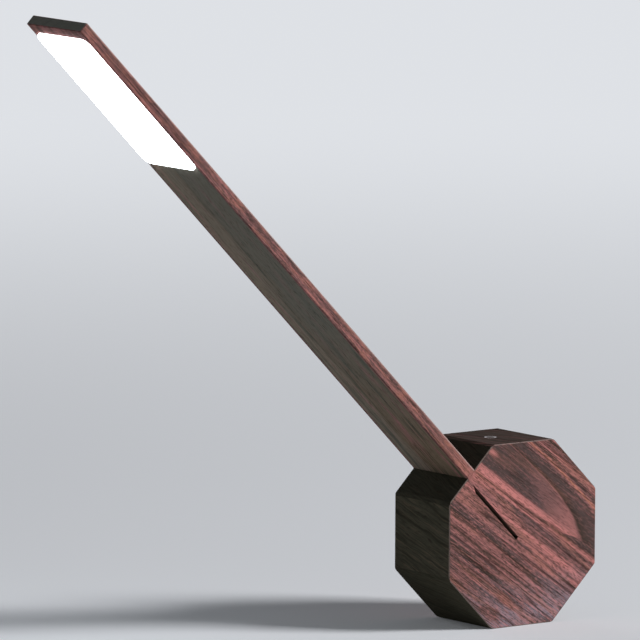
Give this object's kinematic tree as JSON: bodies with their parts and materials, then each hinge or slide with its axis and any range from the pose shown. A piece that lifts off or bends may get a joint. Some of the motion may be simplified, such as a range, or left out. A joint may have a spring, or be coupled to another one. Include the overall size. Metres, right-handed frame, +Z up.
{
  "type": "desk lamp",
  "caption": "Cordless desk lamp: an octagonal wooden base with a straight flat arm plugged into it at 45 degrees and a white light panel under the arm's head.",
  "frame": {"origin": "middle of the flat that the base stands on", "axes": "+Z up, +X to the right seen from the front face, +Y from the front face to the back; the arm leans to -X"},
  "size_m": [0.3603, 0.0506, 0.3603],
  "materials": {
    "base_veneer": "satin oiled veneer",
    "arm_veneer": "satin oiled veneer",
    "black_abs": "fine moulded",
    "bright_steel": "plated",
    "ballast_steel": "sawn block",
    "brass": "plated",
    "copper": "bare copper",
    "satin_aluminium": "satin anodised",
    "board_laminate": "solder mask",
    "light_board": "aluminium board under white solder mask",
    "light_chip": "moulded resin",
    "white_film": "matte white film",
    "opal_acrylic": "satin opal, lit",
    "cell_foil": "laminated foil",
    "lead_pvc": "extruded"
  },
  "bodies": {
    "base": {"base_housing": "base_veneer", "back_cover": "base_veneer", "cover_screws": "bright_steel", "arm_socket": "black_abs", "socket_screws": "bright_steel", "retaining_spring": "bright_steel", "contact_block": "black_abs", "ballast_weight": "ballast_steel", "ballast_screws": "bright_steel", "battery_tray": "black_abs", "battery_cells": "cell_foil", "tray_screws": "bright_steel", "main_board": "board_laminate", "board_components": "black_abs", "board_posts": "brass", "board_screws": "bright_steel", "usb_inlet": "bright_steel", "switch_body": "black_abs", "touch_ring": "satin_aluminium", "touch_pad": "copper", "touch_lead": "lead_pvc", "battery_leads": "lead_pvc", "contact_leads": "lead_pvc"},
    "arm": {"arm_tray": "arm_veneer", "arm_underside": "arm_veneer", "arm_core": "satin_aluminium", "arm_heel": "black_abs", "contact_pads": "brass", "arm_leads": "copper", "led_board": "light_board", "led_chips": "light_chip", "reflector_film": "white_film", "diffuser": "opal_acrylic"},
    "power_slider": {"switch_slider": "black_abs"},
    "front_pin": {"front_contact_pin": "brass"},
    "rear_pin": {"rear_contact_pin": "brass"}
  },
  "joints": [
    {"name": "arm_slide", "type": "slide", "parent": "base", "child": "arm", "axis": [-0.7071, 0, 0.7071], "range_m": [0, 0.06]},
    {"name": "power_slide", "type": "slide", "parent": "base", "child": "power_slider", "axis": [-1, 0, 0], "range_m": [0, 0.002]},
    {"name": "front_pin_press", "type": "slide", "parent": "base", "child": "front_pin", "axis": [0.7071, 0, -0.7071], "range_m": [0, 0.0007], "stiffness_N_per_m": 300, "springref_m": -0.001},
    {"name": "rear_pin_press", "type": "slide", "parent": "base", "child": "rear_pin", "axis": [0.7071, 0, -0.7071], "range_m": [0, 0.0007], "stiffness_N_per_m": 300, "springref_m": -0.001}
  ]
}
